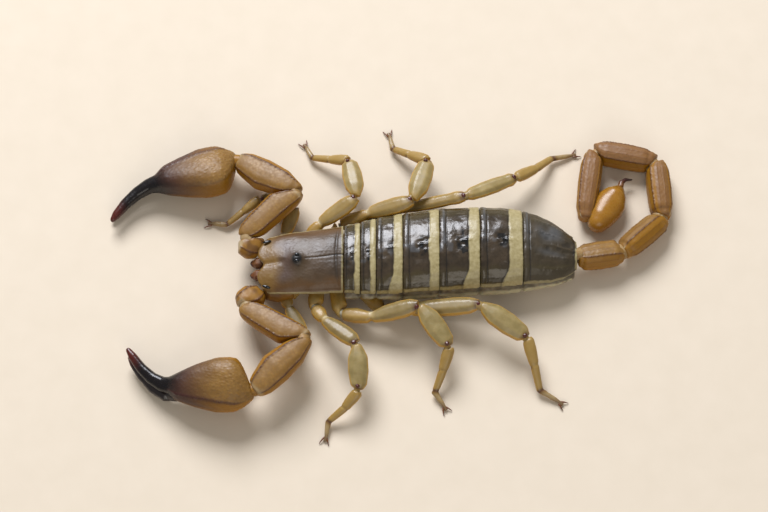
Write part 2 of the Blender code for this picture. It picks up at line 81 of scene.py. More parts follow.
def read(items, key, width, kind):
    """One value, or one row of them, for each item of a mesh."""
    flat = np.empty(len(items) * width, kind)
    items.foreach_get(key, flat)
    return flat.reshape(-1, width)


def settled(values, edges, rounds, back=-0.52):
    """Evens values out over a net, in and then back out again so that nothing shrinks."""
    values = values.astype(float)
    count = np.bincount(edges.ravel(), minlength=len(values))[:, None]
    first, second = edges.T
    for _ in range(rounds):
        for step in (0.5, back):
            around = np.empty_like(values)
            for k in range(values.shape[1]):
                around[:, k] = np.bincount(first, values[second, k], len(values))
                around[:, k] += np.bincount(second, values[first, k], len(values))
            values += step * (around / count - values)
    return values


class Skin:
    """A closed net of four-sided faces, in millimetres, worked before it becomes a piece."""

    def __init__(self, mesh):
        self.mesh = mesh
        self.mesh.materials.clear()
        self.points = read(mesh.vertices, "co", 3, float)
        self.faces = read(mesh.loops, "vertex_index", 1, np.int64).reshape(-1, 4)
        self.marks = {}

    def normals(self):
        """The outward direction of the surface at each point."""
        spots = self.points[self.faces]
        turned = np.cross(spots[:, 2] - spots[:, 0], spots[:, 3] - spots[:, 1])
        total = np.zeros_like(self.points)
        for corner in range(4):
            for k in range(3):
                total[:, k] += np.bincount(self.faces[:, corner], turned[:, k], len(total))
        return total / np.maximum(np.linalg.norm(total, axis=1, keepdims=True), 1e-12)

    def raise_by(self, heights):
        """Raises the surface by so many millimetres at each point, or sinks it."""
        self.points = self.points + self.normals() * heights[:, None]

    def fit(self, name, finish, slot, *nodes):
        """Makes the piece, in its place on the body, in the stead of the named solids."""
        self.points[:, 2] = np.maximum(self.points[:, 2], 0)
        self.mesh.vertices.foreach_set("co", (self.points * MM).ravel())
        for mark, values in self.marks.items():
            layer = self.mesh.attributes.new(mark, "FLOAT", "POINT")
            layer.data.foreach_set("value", np.clip(values, 0, 1).astype(np.float32))
        self.mesh.materials.append(finish)
        self.mesh.shade_smooth()
        piece = bpy.data.objects.new(name, self.mesh)
        bpy.context.scene.collection.objects.link(piece)
        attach(piece, "root")
        if nodes:
            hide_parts(*nodes)


def cast(node, net, rounds, melt=0):
    """The skin of a solid: an even net, its facets and corners rounded off, then made finer."""
    solid = bmesh.new()
    solid.from_mesh(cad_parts[node].data)
    bmesh.ops.remove_doubles(solid, verts=solid.verts, dist=WELD)
    bmesh.ops.scale(solid, vec=(1 / MM, 1 / MM, 1 / MM), verts=solid.verts)
    rough = bpy.data.meshes.new(node)
    solid.to_mesh(rough)
    solid.free()
    even = reshaped(rough, "REMESH", mode="VOXEL", voxel_size=net)
    edges = read(even.edges, "vertices", 2, np.int64)
    points = settled(read(even.vertices, "co", 3, float), edges, rounds)
    points = settled(points, edges, melt, 0.0)
    even.vertices.foreach_set("co", points.ravel())
    return Skin(reshaped(even, "SUBSURF", levels=1))


def chance(cells, seed):
    """Three even numbers from 0 to 1 for each whole-number cell, always the same for a cell."""
    mixed = (cells * (73856093, 19349663, 83492791)).sum(-1) + seed * 6542989
    drawn = []
    for _ in range(3):
        mixed = ((mixed ^ (mixed >> 13)) * 1274126177) & 0xFFFFFFFF
        drawn.append(mixed / 2**32)
    return np.stack(drawn, -1)


def drift(points, size, seed):
    """Slow change from -1 to 1, over about so many millimetres."""
    place = points / size
    cell = np.floor(place).astype(np.int64)
    part = place - cell
    part = part * part * (3 - 2 * part)
    total = np.zeros(len(points))
    for corner in np.ndindex(2, 2, 2):
        weight = np.prod(np.where(corner, part, 1 - part), axis=1)
        total += weight * chance(cell + np.array(corner), seed)[:, 0]
    return total * 2 - 1


def fade(values, low, high):
    """0 below low and 1 above high, with a smooth change between; high may be the smaller."""
    share = np.clip((values - low) / (high - low), 0, 1)
    return share * share * (3 - 2 * share)


def bump(values, middle, width):
    """A rounded rise, 1 at the middle and 0 from about two widths away."""
    return np.exp(-(((values - middle) / width) ** 2))


def ends_of(node):
    """Where a plate begins and ends along the body, in millimetres."""
    low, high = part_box(node)
    return low[0] / MM, high[0] / MM


def plate_places(points):
    """Distance to the right of the middle line, and its share of the half width there."""
    slot = ((points[:, 0] - points[:, 0].min()) / 0.3).astype(int)
    low, high = np.full(slot.max() + 1, np.inf), np.full(slot.max() + 1, -np.inf)
    np.minimum.at(low, slot, points[:, 1])
    np.maximum.at(high, slot, points[:, 1])
    centres = points[:, 0].min() + (np.arange(len(low)) + 0.5) * 0.3
    off = points[:, 1] - np.interp(points[:, 0], centres, (low + high) / 2)
    return off, np.abs(off) / np.interp(points[:, 0], centres, (high - low) / 2)


def linear(code):
    """A colour written as sRGB hex, in the linear numbers that a shader takes."""
    parts = [int(code[i : i + 2], 16) / 255 for i in (1, 3, 5)]
    return (*[c / 12.92 if c <= 0.04045 else ((c + 0.055) / 1.055) ** 2.4 for c in parts], 1)


def add(tree, kind, inputs=None, **settings):
    """Adds a node with its settings, and joins or sets its inputs; gives its first output."""
    node = tree.nodes.new(kind)
    for key, value in settings.items():
        setattr(node, key, value)
    for key, value in (inputs or {}).items():
        socket = next(s for s in node.inputs if s.enabled and s.name == key)
        if isinstance(value, bpy.types.NodeSocket):
            tree.links.new(value, socket)
        else:
            socket.default_value = value
    return next(s for s in node.outputs if s.enabled)


def begin(name, **values):
    """Starts a material; gives it with its node tree, its shader and its place in millimetres."""
    made = bpy.data.materials.new(name)
    made.use_nodes = True
    tree = made.node_tree
    shader = tree.nodes["Principled BSDF"]
    for key, value in values.items():
        shader.inputs[key.replace("_", " ")].default_value = value
    spot = add(tree, "ShaderNodeTexCoord").node.outputs["Object"]
    inputs = {"Vector": spot, "Scale": 1 / MM}
    return made, tree, shader, add(tree, "ShaderNodeVectorMath", inputs, operation="SCALE")


def stained(tree, colour, *stains):
    """Lays one colour over another where the piece's points carry the mark of that name."""
    for mark, code in stains:
        inputs = {"Factor": add(tree, "ShaderNodeAttribute", attribute_name=mark), "A": colour}
        inputs["B"] = linear(code) if isinstance(code, str) else code
        colour = add(tree, "ShaderNodeMix", inputs, data_type="RGBA")
    return colour


# Unhardened cuticle over fluid: a matt to silky skin with fine creases, grey where it is
# stretched thin and olive-brown elsewhere; the dark in its folds and breathing slits is painted shade.
soft_skin, tree, shader, place = begin("soft_skin", IOR=1.45, Coat_Weight=0.1, Coat_Roughness=0.3)
shader.inputs["Subsurface Weight"].default_value = 0.1
shader.inputs["Subsurface Scale"].default_value = 0.0004
blotch = add(tree, "ShaderNodeTexNoise", {"Vector": place, "Scale": 1.1, "Detail": 4.0})
blotch = add(tree, "ShaderNodeMapRange", {"Value": blotch, "From Min": 0.38, "From Max": 0.64})
tone = {"Factor": blotch, "A": linear("#4f4431"), "B": linear("#6f6450")}
tone = add(tree, "ShaderNodeMix", tone, data_type="RGBA")
tone = stained(tree, tone, ("pale", "#b0a684"), ("white", "#d3ccb8"), ("dark", "#2b2218"))
tree.links.new(tone, shader.inputs["Base Color"])
gloss = add(tree, "ShaderNodeMapRange", {"Value": blotch, "To Min": 0.5, "To Max": 0.34})
tree.links.new(gloss, shader.inputs["Roughness"])
crease = {"Vector": place, "Scale": 7.0, "Detail": 5.0, "Distortion": 0.6}
crease = add(tree, "ShaderNodeTexNoise", crease)
dent = add(tree, "ShaderNodeBump", {"Height": crease, "Strength": 0.45, "Distance": 0.00005})
tree.links.new(dent, shader.inputs["Normal"])

TERGITES = [f"tergite_{n}" for n in range(1, 8)]
SPIRACLES_OUT = 1.9  # the breathing slits lie this far out on the under plates

flank = cast("belly", 0.19, 6)
off, share = plate_places(flank.points)
under = fade(flank.normals()[:, 2], -0.45, -0.8)
creases = drift(flank.points * (1, 1, 2.2), 0.5, 3) + 0.5 * drift(flank.points, 0.2, 4)
fold, slit = np.zeros(len(flank.points)), np.zeros(len(flank.points))
for node in TERGITES:
    start, end = ends_of(node)
    fold += bump(flank.points[:, 0] + 0.15 * creases, end + 0.05, 0.16)
    if 2 < TERGITES.index(node) < 6:
        near = np.abs(off) - SPIRACLES_OUT
        slit += bump(flank.points[:, 0] + 0.4 * near, (start + end) / 2, 0.09) * bump(near, 0, 0.4)
side = 1 - under
flank.raise_by(side * (0.04 * creases + 0.12 - 0.18 * fold) - under * (0.1 * fold + 0.08 * slit))
rear_part = fade(flank.points[:, 0], -3.0, 1.0)
rim = fade(share, 0.95, 0.985) * (0.25 + 0.6 * rear_part)
# The folds under the plates' rear edges and the breathing slits are darkened as painted shade, and the
# pale underside is lessened in the folds; the rest is the skin's own grey-olive.
flank.marks["pale"] = under * 0.75 * (1 - fold) + side * (rim + 0.08 + 0.15 * creases)
flank.marks["dark"] = 0.5 * fold * side + under * (0.35 * fold + 0.9 * slit)
flank.fit("flank_skin", soft_skin, "soft_side", "belly")

# ---- Head shield --------------------------------------------------------------------------------
# The single hard plate over the head and legs, notched in front. It is tanned cuticle like thin
# horn, yellow where it is clear and smoky behind, with a raised mound for the two middle eyes.

# Tanned cuticle like polished horn: smoky brown under a clear surface, so lamps show as broad
# soft sheens; clear yellow horn shows at the front lobes, the bands and the edges.
back_horn, tree, shader, place = begin(
    "back_horn", IOR=1.45, Coat_Weight=0.2, Coat_Roughness=0.2, Coat_IOR=1.45
)
cloud = {"Vector": place, "Scale": 0.9, "Detail": 5.0, "Roughness": 0.6}
cloud = add(tree, "ShaderNodeTexNoise", cloud)
cloud = add(tree, "ShaderNodeMapRange", {"Value": cloud, "From Min": 0.35, "From Max": 0.65})
horn = {"Factor": cloud, "A": linear("#2d2418"), "B": linear("#463929")}
horn = add(tree, "ShaderNodeMix", horn, data_type="RGBA")
speck = add(tree, "ShaderNodeTexNoise", {"Vector": place, "Scale": 4.0, "Detail": 4.0})
speck = add(tree, "ShaderNodeMapRange", {"Value": speck, "From Min": 0.3, "From Max": 0.7})
cream = {"Factor": speck, "A": linear("#918357"), "B": linear("#a89b71")}
cream = add(tree, "ShaderNodeMix", cream, data_type="RGBA")
# The blue-grey stain is a painted sheen, laid on the back plates.
horn = stained(
    tree, horn, ("olive", "#413720"), ("warm", "#553813"), ("plum", "#4e3b33"),
    ("honey", "#775820"), ("painted_sheen", "#61656a"), ("pale", cream), ("dark", "#0c0a09"),
)
tree.links.new(horn, shader.inputs["Base Color"])
wear = add(tree, "ShaderNodeMapRange", {"Value": cloud, "To Min": 0.39, "To Max": 0.53})
sheen = {"Value": add(tree, "ShaderNodeAttribute", attribute_name="smooth").node.outputs["Fac"]}
sheen = add(tree, "ShaderNodeMapRange", {**sheen, "To Min": 1.0, "To Max": 0.54})
wear = add(tree, "ShaderNodeMath", {"Value": wear}, operation="MULTIPLY")
tree.links.new(sheen, wear.node.inputs[1])
tree.links.new(wear, shader.inputs["Roughness"])
ripple = add(tree, "ShaderNodeTexNoise", {"Vector": place, "Scale": 5.0, "Detail": 5.0})
dent = add(tree, "ShaderNodeBump", {"Height": ripple, "Strength": 0.18, "Distance": 0.00003})
tree.links.new(dent, shader.inputs["Normal"])


def grains(points, spacing, seed, reach=0.55):
    """Round grains, about one to each spacing: 1 at the top of a grain and 0 between them."""
    place = points / spacing
    cell = np.floor(place).astype(np.int64)
    near = np.full(len(points), 9.0)
    for shift in np.ndindex(3, 3, 3):
        other = cell + np.array(shift) - 1
        away = ((other + chance(other, seed) - place) ** 2).sum(1)
        near = np.minimum(near, away)
    return np.clip(1 - near / reach**2, 0, 1)


def corners_of(node):
    """The points of a solid, in millimetres."""
    return np.array([v.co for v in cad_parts[node].data.vertices]) / MM


eyes = (corners_of("median_eye_left").mean(0) + corners_of("median_eye_right").mean(0)) / 2
snout, shield_end = ends_of("carapace")
eyes_along = eyes[0] - snout
shield = cast("carapace", 0.11, 16)
off, share = plate_places(shield.points)
along = shield.points[:, 0] - snout
top = fade(shield.normals()[:, 2], 0.1, 0.4)
wave = drift(shield.points, 0.9, 12)
ragged = 0.3 * drift(shield.points, 0.5, 13) + 0.25 * drift(shield.points, 1.4, 14)
mound = bump(along, eyes_along, 0.62) * bump(off, 0, 0.5)
lobes = fade(along, 2.4, 1.0) * (bump(off, 1.1, 0.8) + bump(off, -1.1, 0.8))
behind_eyes = fade(along, eyes_along + 0.4, eyes_along + 0.9)
furrow = bump(off + 0.05 * wave, 0, 0.08) * behind_eyes
front_furrow = bump(off, 0, 0.28) * fade(along, eyes_along - 0.4, eyes_along - 1.3)
rear_furrow = bump(along, 7.25 + 0.3 * share**2, 0.14) * fade(share, 0.95, 0.6)
rim = fade(share, 0.93, 0.98) + fade(along, shield_end - snout - 0.2, shield_end - snout - 0.08)
shield.raise_by(
    top
    * (
        0.2 * mound
        + 0.06 * lobes
        - 0.05 * furrow
        - 0.1 * front_furrow
        - 0.06 * rear_furrow
        + 0.01 * grains(shield.points, 0.26, 11) * fade(share, 1.0, 0.7)
        + 0.04 * rim
        + 0.03 * wave
    )
)
front = along + 0.9 * ragged + 0.45 * share
shield.marks["olive"] = 0.4 * fade(along, 5.5, 3.5)
shield.marks["warm"] = 0.3 + 0.7 * fade(share + 0.25 * ragged, 0.5, 0.85) + fade(front, 2.6, 1.2)
# The purple-grey just behind the front lobes is partly the shield's purple tint and partly a painted
# sheen.
shield.marks["plum"] = 0.75 * bump(front, 2.7, 1.0) * fade(share, 0.8, 0.5)
shield.marks["honey"] = fade(front + 0.5 * wave, 2.6, 1.2) * (0.8 + 0.9 * ragged)
shield.marks["pale"] = (
    0.3 * bump(front, 1.5, 0.3) * fade(ragged, -0.1, 0.3)
    + 0.8 * fade(along, shield_end - snout - 0.22, shield_end - snout - 0.12)
    + 0.9 * fade(share, 0.95, 0.975) * fade(along, 0.5, 1.2)
)
# The dark in the furrows is painted shade; the black round the middle eyes and the darker rear middle
# are the shield's own colour.
shield.marks["dark"] = (
    2.6 * bump(along + 0.1 * wave, eyes_along, 0.36) * bump(off, 0, 0.42)
    + 0.5 * furrow
    + 0.3 * rear_furrow
    + 0.3 * fade(along, 5.8, 7.2) * fade(share, 0.75, 0.5)
)
shield.fit("carapace_shell", back_horn, "back_plate", "carapace")

# ---- Eyes ---------------------------------------------------------------------------------------
# Two domed middle eyes on the mound and a slanting row of small side eyes at each front corner.
# Each lens is clear cuticle over black pigment, set in the plate and polished like jet.

# Clear lens over black pigment: jet black with small sharp highlights.
eye_jet, tree, shader, place = begin(
    "eye_jet", Roughness=0.16, IOR=1.5, Coat_Weight=0.2, Coat_Roughness=0.08
)
depth = add(tree, "ShaderNodeTexNoise", {"Vector": place, "Scale": 6.0, "Detail": 2.0})
jet = {"Factor": depth, "A": linear("#050608"), "B": linear("#171b20")}
tree.links.new(add(tree, "ShaderNodeMix", jet, data_type="RGBA"), shader.inputs["Base Color"])
for node in ("median_eye_left", "median_eye_right", "lateral_eyes_left", "lateral_eyes_right"):
    lens = cast(node, 0.04, 5)
    lens.points[:, 2] += 0.1
    if node.startswith("lateral"):
        middle = lens.points.mean(0)
        inward = middle * (0, -0.05, 0)
        lens.points = middle + (lens.points - middle) * 1.15 + inward
    lens.fit(f"{node}_lens", eye_jet, "eye_glass", node)

# ---- Back plates --------------------------------------------------------------------------------
# Seven plates across the back, each lapping the next like roof tiles. They are the same smoky
# horn, with a raised strip behind the front edge, a low middle keel and a clear cream band behind.

BAND_WIDTHS = (0.42, 0.48, 0.72, 0.82, 0.9, 1.12, 0.12)
STRIP_WIDTHS = (0.22, 0.32, 0.5, 0.6, 0.62, 0.65, 0.6)

for number, node in enumerate(TERGITES):
    start, end = ends_of(node)
    plate = cast(node, 0.11, 13)
    off, share = plate_places(plate.points)
    along = plate.points[:, 0] - start
    length = end - start
    left = length - along
    top = fade(plate.normals()[:, 2], 0.1, 0.4)
    plate.points[:, 0] += 0.05 * fade(left, 0.2, 0.0)
    if number == 6:
        swell = 0.07 * bump(along, 0.55 * length, 0.3 * length) - 0.14 * fade(left, 0.5, 0.0)
        plate.points[:, 1] += swell * off
    wave = drift(plate.points, 0.8, 20 + number)
    fine = drift(plate.points, 0.35, 30 + number)
    width = BAND_WIDTHS[number]
    band = width * (1 + 0.1 * drift(plate.points, 1.1, 38) + 0.12 * bump(off, 0, 0.9))
    if number in (2, 4, 5):
        band += 0.6 * width * fade(off, -0.6 * abs(off).max(), -0.95 * abs(off).max())
    rear = fade(left + 0.07 * fine, band + 0.08, band - 0.08)
    strip = STRIP_WIDTHS[number]
    middle = fade(along, 0.35 * length, 0.5 * length) * fade(left, 0.6 * band, band)
    keel = bump(off + 0.1 * fine, 0.02, 0.1) * middle
    pits = bump(np.abs(off), 0.3, 0.2) * middle * fade(fine, -0.1, 0.5)
    crumple = drift(plate.points, 0.5, 55 + number) * bump(off, 0, 1.3) * (1 - rear)
    groove = bump(along, strip + 0.04 * wave, 0.055) * fade(share, 1.0, 0.9)
    side_keel = np.zeros(len(along))
    if number == 6:
        for at in (0.36, 0.7):
            side_keel += bump(share, at, 0.05) * fade(along, 0.9, 1.6) * fade(left, 0.4, 1.2)
        side_keel *= 0.5 + 0.5 * grains(plate.points, 0.3, 50)
    plate.raise_by(
        top
        * (
            0.05 * bump(along, 0.5 * strip, 0.35 * strip)
            - 0.055 * groove
            + 0.06 * keel
            - 0.05 * pits
            + 0.025 * rear
            - 0.03 * bump(left, band, 0.08)
            + 0.09 * side_keel
            + 0.04 * wave
            + 0.035 * crumple * fade(along, strip, strip + 0.3)
            + 0.01 * fine
            + 0.006 * grains(plate.points, 0.22, 40 + number)
        )
    )
    edge = fade(share, 0.945, 0.965) * fade(share, 1.01, 0.99)
    plate.marks["pale"] = 0.97 * rear + 0.8 * edge
    plate.marks["olive"] = fade(share + 0.08 * wave, 0.55, 0.75) + 0.5 * (number == 6)
    # Painted sheen: a blue-white highlight along the raised front strip, stronger on the lamp side, and
    # on the crests of the crumples.
    plate.marks["painted_sheen"] = 0.5 * bump(along, 0.65 * strip, 0.18 * strip) * fade(off, -1.5, 1.5)
    plate.marks["painted_sheen"] += 0.35 * fade(crumple, 0.1, 0.5) * (number < 6)
    if number == 6:
        # Painted sheen on the upper middle of the last plate.
        sheen = bump(off - 0.5 * wave, 1.2, 0.7) + 0.6 * bump(off, -0.7, 0.3)
        plate.marks["painted_sheen"] += 0.5 * sheen * fade(along, 0.8, 2.0) * fade(left, 0.8, 2.0)
    plate.marks["smooth"] = (1 - rear) * (number < 6)
    # The dark in the groove behind the strip, in the dent ahead of the band and in the crumples'
    # hollows is painted shade; the streaks in the middle are the plates' own marks.
    plate.marks["dark"] = (1 - rear) * (
        0.15 * (number > 3)
        + 0.6 * groove
        + 0.8 * fade(0.25 * np.abs(off) + 0.35 * fine, 0.15, 0.0) * middle * (number < 6)
        + 0.35 * fade(crumple, -0.1, -0.5)
        + 0.3 * bump(left, band + 0.12, 0.12)
    )
    plate.fit(f"{node}_shell", back_horn, "back_plate", node)

# ---- Underside of the body ----------------------------------------------------------------------
# The bases of the legs, fused into a hard block under the head, with the two comb organs behind
# it. They are clear yellow-brown cuticle, the combs with a row of small blunt teeth.

# Thin tanned cuticle, clear as honey: silky straw yellow; the gold at the edges is partly the thick
# edge keels' own colour and partly painted glow of light coming through them.
straw_horn, tree, shader, place = begin("straw_horn", IOR=1.47, Coat_Weight=0.08)
shader.inputs["Subsurface Weight"].default_value = 0.15
shader.inputs["Subsurface Scale"].default_value = 0.0006
shader.inputs["Subsurface Radius"].default_value = (1.0, 0.6, 0.25)
cloud = {"Vector": place, "Scale": 1.1, "Detail": 4.0, "Roughness": 0.55}
cloud = add(tree, "ShaderNodeTexNoise", cloud)
cloud = add(tree, "ShaderNodeMapRange", {"Value": cloud, "From Min": 0.35, "From Max": 0.65})
straw = {"Factor": cloud, "A": linear("#83754a"), "B": linear("#9c8d60")}
straw = add(tree, "ShaderNodeMix", straw, data_type="RGBA")
# The smoky stain is partly the cuticle's own tint and partly painted shade on the left legs.
straw = stained(
    tree, straw, ("honey", "#9a7836"), ("smoke_and_shade", "#574a2b"), ("gold", "#b98a2a"),
    ("pale", "#c9bf9d"), ("spot", "#3f100a"),
)
tree.links.new(straw, shader.inputs["Base Color"])
gloss = add(tree, "ShaderNodeMapRange", {"Value": cloud, "To Min": 0.34, "To Max": 0.44})
tree.links.new(gloss, shader.inputs["Roughness"])
grain = add(tree, "ShaderNodeTexNoise", {"Vector": place, "Scale": 9.0, "Detail": 4.0})
dent = add(tree, "ShaderNodeBump", {"Height": grain, "Strength": 0.2, "Distance": 0.00002})
tree.links.new(dent, shader.inputs["Normal"])

bases = cast("coxae", 0.16, 4)
bases.raise_by(0.015 * grains(bases.points, 0.3, 60))
bases.marks["gold"] = 0.5 + 0.3 * drift(bases.points, 0.8, 61)
bases.marks["smoke_and_shade"] = fade(bases.points[:, 0], -9.5, -10.8) * 0.8
bases.fit("coxae_shell", straw_horn, "under_shell", "coxae")
for node in ("pectine_left", "pectine_right"):
    comb = cast(node, 0.07, 3)
    comb.marks["pale"] = 0.4 + 0.3 * drift(comb.points, 0.4, 63)
    comb.fit(f"{node}_comb", straw_horn, "under_shell", node)

# ---- Legs ---------------------------------------------------------------------------------------
# Eight walking legs of clear straw cuticle: thigh and knee piece are flat blades edged with a keel,
# gold partly in its own colour and partly as painted glow, and dark red-brown pegs hinge them. Each
# thin foot ends in two curved claws.

# Fully tanned cuticle: nearly black with a purple cast, clearing to dark red where it is thin.
dusky_horn, tree, shader, place = begin("dusky_horn", IOR=1.5, Coat_Weight=0.2)
shader.inputs["Coat Roughness"].default_value = 0.18
streak = {"Vector": place, "Scale": 2.5, "Detail": 4.0, "Distortion": 0.4}
streak = add(tree, "ShaderNodeTexNoise", streak)
dusk = {"Factor": streak, "A": linear("#0e090a"), "B": linear("#2a1814")}
dusk = add(tree, "ShaderNodeMix", dusk, data_type="RGBA")
dusk = stained(tree, dusk, ("red", "#521607"), ("tan", "#84592f"))
tree.links.new(dusk, shader.inputs["Base Color"])
gloss = add(tree, "ShaderNodeMapRange", {"Value": streak, "To Min": 0.25, "To Max": 0.4})
tree.links.new(gloss, shader.inputs["Roughness"])
dent = add(tree, "ShaderNodeBump", {"Height": streak, "Strength": 0.3, "Distance": 0.00003})
tree.links.new(dent, shader.inputs["Normal"])

UP = np.array((0.0, 0.0, 1.0))
THIGH_SEAMS = {1: 0.24, 2: 0.29, 3: 0.38, 4: 0.25}  # share of the way from hip to knee
FOOT_SEAMS = (0.37, 0.7)
CUFF_RADIUS = 0.44


def meeting(node, neighbour):
    """The middle of the place where two solids meet, in millimetres."""
    here, there = corners_of(node), corners_of(neighbour)
    gaps = np.linalg.norm(here[:, None] - there[None], axis=2)
    first, second = np.nonzero(gaps < gaps.min() + 0.3)
    return (here[first].mean(0) + there[second].mean(0)) / 2


def unit(vector):
    """The same direction, one long."""
    return vector / np.linalg.norm(vector)


def limb_places(skin, start, end, top):
    """Where each point is on a limb from start to end, and which way its surface faces.

    Gives its share of the way, its angle round the way, the angle that it faces, and its place
    along the way, to the right and up. An angle is 0 at the top and 90 at the right-hand side.
    """
    axis = unit(end - start)
    side = unit(np.cross(axis, top))
    turned = np.stack((axis, side, np.cross(side, axis)), 1)
    local = (skin.points - start) @ turned
    faces = skin.normals() @ turned
    slot = ((local[:, 0] - local[:, 0].min()) / 0.25).astype(int)
    centres = local[:, 0].min() + (np.arange(slot.max() + 1) + 0.5) * 0.25
    out = []
    for k in (1, 2):
        low, high = np.full(len(centres), np.inf), np.full(len(centres), -np.inf)
        np.minimum.at(low, slot, local[:, k])
        np.maximum.at(high, slot, local[:, k])
        middle = np.interp(local[:, 0], centres, (low + high) / 2)
        out.append((local[:, k] - middle) / np.interp(local[:, 0], centres, (high - low) / 2))
    angle = np.degrees(np.arctan2(*out))
    turn = np.degrees(np.arctan2(faces[:, 1], faces[:, 2]))
    return local[:, 0] / np.linalg.norm(end - start), angle, turn, local


def slim(skin, start, end, widths):
    """Scales a piece's width and height by the amounts given along its way."""
    axis = unit(end - start)
    along = (skin.points - start) @ axis
    line = start + along[:, None] * axis
    skin.points = line + (skin.points - line) * widths[:, None]


def blunt(skin, start, end, reach):
    """Draws in the sharp corners where a piece is cut slantwise at its joints."""
    axis = unit(end - start)
    along = (skin.points - start) @ axis
    past = np.maximum(along - np.linalg.norm(end - start) + reach, 0)
    past -= np.maximum(reach - along, 0)
    skin.points = skin.points - 0.55 * past[:, None] * axis


def turn_from(turn, at):
    """How far each turn is from another, in degrees, the short way round."""
    return (turn - at + 180) % 360 - 180


def spun(bend, sizes, top, sides=10, steps=12):
    """The skin of a round tapering form along a bend: its start, its knee and its end.

    The sizes are (share of the way, half width, half height).
    """
    start, knee, end = (np.array(p, float) for p in bend)
    share = np.linspace(0, 1, steps)[:, None]
    line = start * (1 - share) ** 2 + knee * 2 * share * (1 - share) + end * share**2
    way = (knee - start) * (1 - share) + (end - knee) * share
    side = np.cross(way, top)
    side /= np.linalg.norm(side, axis=1, keepdims=True)
    rise = np.cross(side, way)
    rise /= np.linalg.norm(rise, axis=1, keepdims=True)
    at, wide, high = np.array(sizes).T
    wide = np.interp(share, at, wide)[:, :, None]
    high = np.interp(share, at, high)[:, :, None]
    turn = (np.arange(sides) * math.tau / sides)[None, :, None]
    rings = line[:, None] + side[:, None] * np.cos(turn) * wide
    rings = rings + rise[:, None] * np.sin(turn) * high
    faces = [list(range(sides)), list(range(sides * steps - 1, sides * (steps - 1) - 1, -1))]
    for near in range(0, sides * (steps - 1), sides):
        for k in range(sides):
            n = (k + 1) % sides
            faces.append((near + k, near + sides + k, near + sides + n, near + n))
    form = bpy.data.meshes.new("form")
    form.from_pydata(rings.reshape(-1, 3).tolist(), [], faces)
    layer = form.attributes.new("along", "FLOAT", "POINT")
    layer.data.foreach_set("value", np.repeat(share[:, 0], sides))
    skin = Skin(reshaped(form, "SUBSURF", levels=1))
    skin.along = read(skin.mesh.attributes["along"].data, "value", 1, float)[:, 0]
    return skin


def cuff(name, joint, before, after, radius, reach, look=(soft_skin, "soft_side"), **marks):
    """The folded skin in a joint, from inside one piece to inside the next."""
    bend = (joint - unit(joint - before) * reach, joint, joint + unit(after - joint) * reach)
    sleeve = spun(bend, ((0, radius, radius), (1, radius, radius)), UP + 0.01)
    sleeve.raise_by(0.05 * radius * drift(sleeve.points, 0.3, 65))
    for mark, amount in marks.items():
        sleeve.marks[mark] = amount + 0 * sleeve.along
    sleeve.fit(name, *look)


def peg(name, skin, joint, behind, radius):
    """The hard dark knob on top of a joint, which it hinges on."""
    spot = joint + unit(behind - joint) * 0.2
    over = skin.points[np.linalg.norm((skin.points - spot)[:, :2], axis=1) < 0.3]
    spot = np.array((spot[0], spot[1], over[:, 2].max()))
    sizes = ((0, radius, radius), (0.6, radius, radius), (1, 0.5 * radius, 0.5 * radius))
    knob = spun((spot - UP * 0.3, spot - UP * 0.1, spot + UP * 0.04), sizes, (0, 1, 0.01), 8, 7)
    knob.raise_by(0.2 * radius * drift(knob.points, 0.25, 66))
    knob.marks["red"] = 0.7 + 0 * knob.along
    knob.fit(name, dusky_horn, "dusky_tip")


